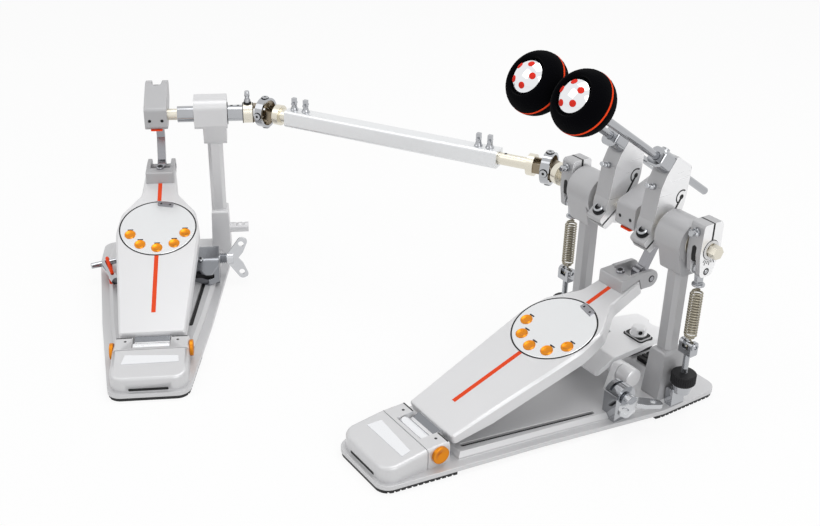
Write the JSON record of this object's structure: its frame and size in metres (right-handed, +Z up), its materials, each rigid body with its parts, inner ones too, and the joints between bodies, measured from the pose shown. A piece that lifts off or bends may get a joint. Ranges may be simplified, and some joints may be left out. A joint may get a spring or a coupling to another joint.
{
  "type": "double bass drum pedal",
  "caption": "Double bass drum pedal: main pedal with twin beaters, slave pedal and telescoping drive shaft with universal joints.",
  "frame": {"origin": "on the floor under the middle of the main pedal's axle", "axes": "+X to the player's right along the main axle, +Y from heel to drum, +Z up"},
  "size_m": [0.6872, 0.5526, 0.3713],
  "materials": {
    "cast_silver": "fine satin silver on aluminium castings",
    "chrome": "polished",
    "nickel": "satin nickel plate",
    "tube_aluminium": "satin",
    "black_rubber": "matte",
    "black_plastic": "knurled matte",
    "black_felt": "dense felt",
    "orange_anodised": "satin",
    "orange_plastic": "gloss"
  },
  "bodies": {
    "root": {"main_sole": "black_rubber", "main_base_plate": "cast_silver", "main_heel_block": "cast_silver", "main_hinge_bolts": "orange_anodised", "main_right_post": "cast_silver", "main_left_post": "cast_silver", "main_bearings": "nickel", "spring_anchors": "chrome", "hoop_clamp_block": "chrome", "hoop_pads": "black_rubber"},
    "jaw": {"hoop_jaw": "cast_silver"},
    "clamp_wing": {"hoop_wing": "chrome"},
    "main_drive": {"main_axle": "nickel", "main_cam": "cast_silver", "right_beater_holder": "cast_silver", "right_rod_clamp": "chrome", "right_rocker": "cast_silver"},
    "right_beater": {"right_beater_rod": "chrome", "right_beater_felt": "black_felt", "right_beater_cap": "chrome"},
    "left_drive": {"left_axle": "nickel", "left_beater_holder": "cast_silver", "left_rod_clamp": "chrome", "left_rocker": "cast_silver"},
    "left_beater": {"left_beater_rod": "chrome", "left_beater_felt": "black_felt", "left_beater_cap": "chrome"},
    "main_board": {"main_footboard": "cast_silver", "main_disc": "chrome", "main_studs": "orange_anodised", "main_toe_clevis": "cast_silver"},
    "main_link_body": {"main_link": "cast_silver"},
    "right_spring_body": {"right_spring": "nickel"},
    "right_hanger": {"right_stirrup": "chrome"},
    "right_nut": {"right_knob": "black_plastic"},
    "left_spring_body": {"left_spring": "nickel"},
    "left_hanger": {"left_stirrup": "chrome"},
    "left_nut": {"left_knob": "black_plastic"},
    "slave_base": {"slave_sole": "black_rubber", "slave_base_plate": "cast_silver", "slave_heel_block": "cast_silver", "slave_hinge_bolts": "orange_anodised", "slave_post": "cast_silver", "slave_bearings": "nickel", "slave_clamp_block": "chrome", "key_clip": "orange_plastic", "drum_key": "chrome"},
    "slave_clamp_wing": {"slave_wing": "chrome"},
    "slave_drive": {"slave_axle": "nickel", "slave_cam": "cast_silver"},
    "slave_board": {"slave_footboard": "cast_silver", "slave_disc": "chrome", "slave_studs": "orange_anodised", "slave_toe_clevis": "cast_silver"},
    "slave_link_body": {"slave_link": "cast_silver"},
    "shaft_tube": {"drive_tube": "tube_aluminium", "drive_key_bolts": "chrome"},
    "shaft_rod": {"drive_rod": "nickel"},
    "slave_gimbal": {"slave_joint_ring": "nickel"},
    "main_gimbal": {"main_joint_ring": "nickel"}
  },
  "joints": [
    {"name": "main_axle_turn", "type": "hinge", "parent": "root", "child": "main_drive", "pos_m": [0, 0, 0.194], "axis": [1, 0, 0], "range_deg": [-45, 0], "stiffness_Nm_per_rad": 1, "springref_deg": 34.38},
    {"name": "left_axle_turn", "type": "hinge", "parent": "root", "child": "left_drive", "pos_m": [0, 0, 0.194], "axis": [1, 0, 0], "range_deg": [-45, 0], "stiffness_Nm_per_rad": 1, "springref_deg": 40.11},
    {"name": "slave_pedal_slide", "type": "slide", "parent": "root", "child": "slave_base", "axis": [0.8667, 0.4989, 0], "range_m": [-0.03, 0.03]},
    {"name": "right_beater_slide", "type": "slide", "parent": "main_drive", "child": "right_beater", "axis": [0, -0.8192, 0.5736], "range_m": [-0.02, 0.02]},
    {"name": "left_beater_slide", "type": "slide", "parent": "left_drive", "child": "left_beater", "axis": [0, -0.8192, 0.5736], "range_m": [-0.02, 0.02]},
    {"name": "jaw_swing", "type": "hinge", "parent": "root", "child": "jaw", "pos_m": [0, -0.036, 0.036], "axis": [1, 0, 0], "range_deg": [-6, 3]},
    {"name": "clamp_wing_turn", "type": "hinge", "parent": "root", "child": "clamp_wing", "pos_m": [0, -0.066, 0.034], "axis": [1, 0, 0], "continuous": true},
    {"name": "slave_wing_turn", "type": "hinge", "parent": "slave_base", "child": "slave_clamp_wing", "pos_m": [-0.4475, -0.3403, 0.034], "axis": [0.4487, 0.8937, 0], "continuous": true},
    {"name": "right_nut_turn", "type": "hinge", "parent": "root", "child": "right_nut", "pos_m": [0.093, 0, 0.044], "axis": [0, 0, 1], "continuous": true},
    {"name": "right_spring_swing", "type": "hinge", "parent": "root", "child": "right_spring_body", "pos_m": [0.093, 0, 0.084], "axis": [1, 0, 0], "range_deg": [-0.5, 11]},
    {"name": "right_hanger_pull", "type": "slide", "parent": "right_spring_body", "child": "right_hanger", "axis": [0, 0, 1], "range_m": [-0.0005, 0.0095], "deforming": ["right_spring"]},
    {"name": "left_nut_turn", "type": "hinge", "parent": "root", "child": "left_nut", "pos_m": [-0.093, 0, 0.044], "axis": [0, 0, 1], "continuous": true},
    {"name": "left_spring_swing", "type": "hinge", "parent": "root", "child": "left_spring_body", "pos_m": [-0.093, 0, 0.084], "axis": [1, 0, 0], "range_deg": [-0.5, 11]},
    {"name": "left_hanger_pull", "type": "slide", "parent": "left_spring_body", "child": "left_hanger", "axis": [0, 0, 1], "range_m": [-0.0005, 0.0095], "deforming": ["left_spring"]},
    {"name": "main_board_swing", "type": "hinge", "parent": "root", "child": "main_board", "pos_m": [0, -0.269, 0.0225], "axis": [1, 0, 0], "range_deg": [-7.5, 0]},
    {"name": "main_link_swing", "type": "hinge", "parent": "main_drive", "child": "main_link_body", "pos_m": [0, 0.038, 0.212], "axis": [1, 0, 0], "range_deg": [0, 52]},
    {"name": "slave_axle_turn", "type": "hinge", "parent": "slave_base", "child": "slave_drive", "pos_m": [-0.519, -0.3044, 0.194], "axis": [0.4487, 0.8937, 0], "range_deg": [-48, 0]},
    {"name": "slave_board_swing", "type": "hinge", "parent": "slave_base", "child": "slave_board", "pos_m": [-0.2786, -0.4251, 0.0225], "axis": [0.4487, 0.8937, 0], "range_deg": [-7.5, 0]},
    {"name": "slave_link_swing", "type": "hinge", "parent": "slave_drive", "child": "slave_link_body", "pos_m": [-0.55296, -0.28735, 0.212], "axis": [0.4487, 0.8937, 0], "range_deg": [0, 54]},
    {"name": "tube_spin", "type": "hinge", "parent": "slave_base", "child": "shaft_tube", "pos_m": [-0.45932, -0.18554, 0.194], "axis": [0.8667, 0.4989, 0], "range_deg": [-43, 0]},
    {"name": "rod_spin", "type": "hinge", "parent": "root", "child": "shaft_rod", "pos_m": [-0.137, 0, 0.194], "axis": [0.8667, 0.4989, 0], "range_deg": [-43, 0]},
    {"name": "slave_ring_swing", "type": "hinge", "parent": "slave_drive", "child": "slave_gimbal", "pos_m": [-0.45932, -0.18554, 0.194], "axis": [0, 0, 1], "range_deg": [0, 10]},
    {"name": "main_ring_swing", "type": "hinge", "parent": "left_drive", "child": "main_gimbal", "pos_m": [-0.137, 0, 0.194], "axis": [0, 0, 1], "range_deg": [-10, 0]}
  ],
  "couplings": [
    {"joint": "main_board_swing", "follows": "main_axle_turn", "ratio": 0.14529},
    {"joint": "main_link_swing", "follows": "main_axle_turn", "ratio": -1.0771},
    {"joint": "right_spring_swing", "follows": "main_axle_turn", "ratio": -0.21895},
    {"joint": "right_hanger_pull", "follows": "main_axle_turn", "m_per_rad": -0.01083},
    {"joint": "left_spring_swing", "follows": "left_axle_turn", "ratio": -0.21895},
    {"joint": "left_hanger_pull", "follows": "left_axle_turn", "m_per_rad": -0.01083},
    {"joint": "slave_axle_turn", "follows": "left_axle_turn", "ratio": 1.0274},
    {"joint": "slave_board_swing", "follows": "left_axle_turn", "ratio": 0.14935},
    {"joint": "slave_link_swing", "follows": "left_axle_turn", "ratio": -1.11},
    {"joint": "tube_spin", "follows": "left_axle_turn", "ratio": 0.8987},
    {"joint": "rod_spin", "follows": "left_axle_turn", "ratio": 0.8987},
    {"joint": "slave_ring_swing", "follows": "left_axle_turn", "ratio": -0.16289},
    {"joint": "main_ring_swing", "follows": "left_axle_turn", "ratio": 0.14291}
  ]
}
